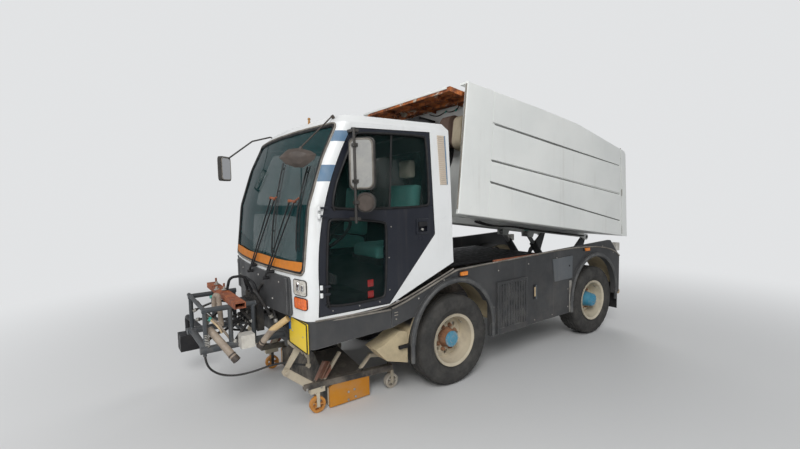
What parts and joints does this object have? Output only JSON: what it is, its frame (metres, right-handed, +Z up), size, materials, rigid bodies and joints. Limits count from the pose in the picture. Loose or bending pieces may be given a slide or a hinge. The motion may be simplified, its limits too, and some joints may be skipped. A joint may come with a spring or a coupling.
{
  "type": "compact street sweeper truck",
  "caption": "Compact street sweeper truck with a hollow cab, tipping hopper, suction nozzle and a bare front broom carrier.",
  "frame": {"origin": "on the ground below the middle of the truck's box", "axes": "+X to the truck's left, -Y to its front, +Z up"},
  "size_m": [2.159, 4.9638, 2.7118],
  "materials": {
    "white_paint": "satin",
    "anthracite": "satin",
    "frame_paint": "satin",
    "black_plastic": "matte",
    "tinted_glass": "polished",
    "lens_clear": "polished",
    "lens_orange": "polished",
    "lens_red": "polished",
    "tyre": "matte",
    "rim_paint": "satin",
    "cast": "matte",
    "seat_fabric": "matte",
    "plate_yellow": "satin",
    "rusty_steel": "matte",
    "hose_rubber": "matte",
    "cream_plastic": "matte",
    "mirror_housing": "satin",
    "cylinder_steel": "satin",
    "polyurethane": "matte"
  },
  "bodies": {
    "chassis": {"chassis_frame": "frame_paint", "cab_shell": "white_paint", "cab_glass": "tinted_glass", "front_panel": "anthracite", "front_skirt": "anthracite", "side_panels": "anthracite", "side_vents": "anthracite", "arch_liners": "cream_plastic", "front_axle": "cast", "rear_axle": "cast", "engine_block": "cast", "seats": "seat_fabric", "dashboard": "black_plastic", "headlamps": "lens_clear", "front_indicators": "lens_orange", "side_markers": "lens_orange", "rear_lamps": "lens_red", "number_plate": "plate_yellow", "mirror_front": "mirror_housing", "broom_carrier": "frame_paint", "carrier_beam": "rusty_steel", "valve_box": "white_paint", "broom_motor": "black_plastic", "suction_duct": "hose_rubber", "nozzle_brackets": "frame_paint", "loose_hose": "hose_rubber", "crossmembers": "frame_paint", "hopper_uprights": "frame_paint", "rear_bumper": "frame_paint", "side_lids": "anthracite", "carrier_hoses": "hose_rubber", "valve_bank": "cast", "mirror_right": "mirror_housing"},
    "door_left": {"door_left": "anthracite", "door_glass_left": "tinted_glass", "mirror_left": "mirror_housing"},
    "door_right": {"door_right": "anthracite", "door_glass_right": "tinted_glass"},
    "knuckle_left": {"knuckle_left": "cast"},
    "knuckle_right": {"knuckle_right": "cast"},
    "wheel_front_left": {"tyre_front_left": "tyre", "rim_front_left": "rim_paint"},
    "wheel_front_right": {"tyre_front_right": "tyre", "rim_front_right": "rim_paint"},
    "wheel_rear_left": {"tyre_rear_left": "tyre", "rim_rear_left": "rim_paint"},
    "wheel_rear_right": {"tyre_rear_right": "tyre", "rim_rear_right": "rim_paint"},
    "hopper": {"hopper_tank": "white_paint", "hopper_covers": "white_paint", "hopper_hood": "rusty_steel", "fan_housing": "black_plastic", "air_bags": "cream_plastic"},
    "hopper_door": {"hopper_door": "white_paint"},
    "tip_barrels": {"tip_barrels": "cylinder_steel"},
    "tip_rods": {"tip_rods": "cylinder_steel"},
    "nozzle": {"suction_nozzle": "cream_plastic", "wear_plates": "polyurethane"},
    "nozzle_rollers_front": {"nozzle_rollers_front": "polyurethane"},
    "nozzle_rollers_rear": {"nozzle_rollers_rear": "polyurethane"}
  },
  "joints": [
    {"name": "steer_left", "type": "hinge", "parent": "chassis", "child": "knuckle_left", "pos_m": [0.59, -0.48, 0.41], "axis": [0, 0, 1], "range_deg": [-30, 30]},
    {"name": "steer_right", "type": "hinge", "parent": "chassis", "child": "knuckle_right", "pos_m": [-0.59, -0.48, 0.41], "axis": [0, 0, 1], "range_deg": [-30, 30]},
    {"name": "wheel_front_left_spin", "type": "hinge", "parent": "knuckle_left", "child": "wheel_front_left", "pos_m": [0.745, -0.48, 0.41], "axis": [1, 0, 0], "continuous": true},
    {"name": "wheel_rear_left_spin", "type": "hinge", "parent": "chassis", "child": "wheel_rear_left", "pos_m": [0.745, 1.78, 0.41], "axis": [1, 0, 0], "continuous": true},
    {"name": "wheel_front_right_spin", "type": "hinge", "parent": "knuckle_right", "child": "wheel_front_right", "pos_m": [-0.745, -0.48, 0.41], "axis": [1, 0, 0], "continuous": true},
    {"name": "wheel_rear_right_spin", "type": "hinge", "parent": "chassis", "child": "wheel_rear_right", "pos_m": [-0.745, 1.78, 0.41], "axis": [1, 0, 0], "continuous": true},
    {"name": "door_left_swing", "type": "hinge", "parent": "chassis", "child": "door_left", "pos_m": [0.916, -1.79, 1.5], "axis": [0, 0, -1], "range_deg": [0, 75]},
    {"name": "door_right_swing", "type": "hinge", "parent": "chassis", "child": "door_right", "pos_m": [-0.916, -1.79, 1.5], "axis": [0, 0, 1], "range_deg": [0, 75]},
    {"name": "hopper_tip", "type": "hinge", "parent": "chassis", "child": "hopper", "pos_m": [0, 2.434, 1.097], "axis": [-1, 0, 0], "range_deg": [-8, 42]},
    {"name": "hopper_door_lift", "type": "hinge", "parent": "hopper", "child": "hopper_door", "pos_m": [0, 2.33293, 2.26039], "axis": [1, 0, 0], "range_deg": [0, 80]},
    {"name": "tip_barrel_swing", "type": "hinge", "parent": "chassis", "child": "tip_barrels", "pos_m": [0, 1.95, 0.54], "axis": [-1, 0, 0], "range_deg": [-6.1, 31.6]},
    {"name": "tip_rod_slide", "type": "slide", "parent": "tip_barrels", "child": "tip_rods", "axis": [0, -0.6459, 0.7634], "range_m": [-0.094, 0.492]},
    {"name": "nozzle_lift", "type": "hinge", "parent": "chassis", "child": "nozzle", "pos_m": [0, -1.943, 0.396], "axis": [1, 0, 0], "range_deg": [0, 6]},
    {"name": "nozzle_roller_front_spin", "type": "hinge", "parent": "nozzle", "child": "nozzle_rollers_front", "pos_m": [0, -1.69, 0.068], "axis": [1, 0, 0], "continuous": true},
    {"name": "nozzle_roller_rear_spin", "type": "hinge", "parent": "nozzle", "child": "nozzle_rollers_rear", "pos_m": [0, -0.98, 0.068], "axis": [1, 0, 0], "continuous": true}
  ],
  "couplings": [
    {"joint": "steer_right", "follows": "steer_left", "ratio": 1},
    {"joint": "tip_barrel_swing", "follows": "hopper_tip", "ratio": 0.75},
    {"joint": "tip_rod_slide", "follows": "hopper_tip", "m_per_rad": 0.67}
  ]
}
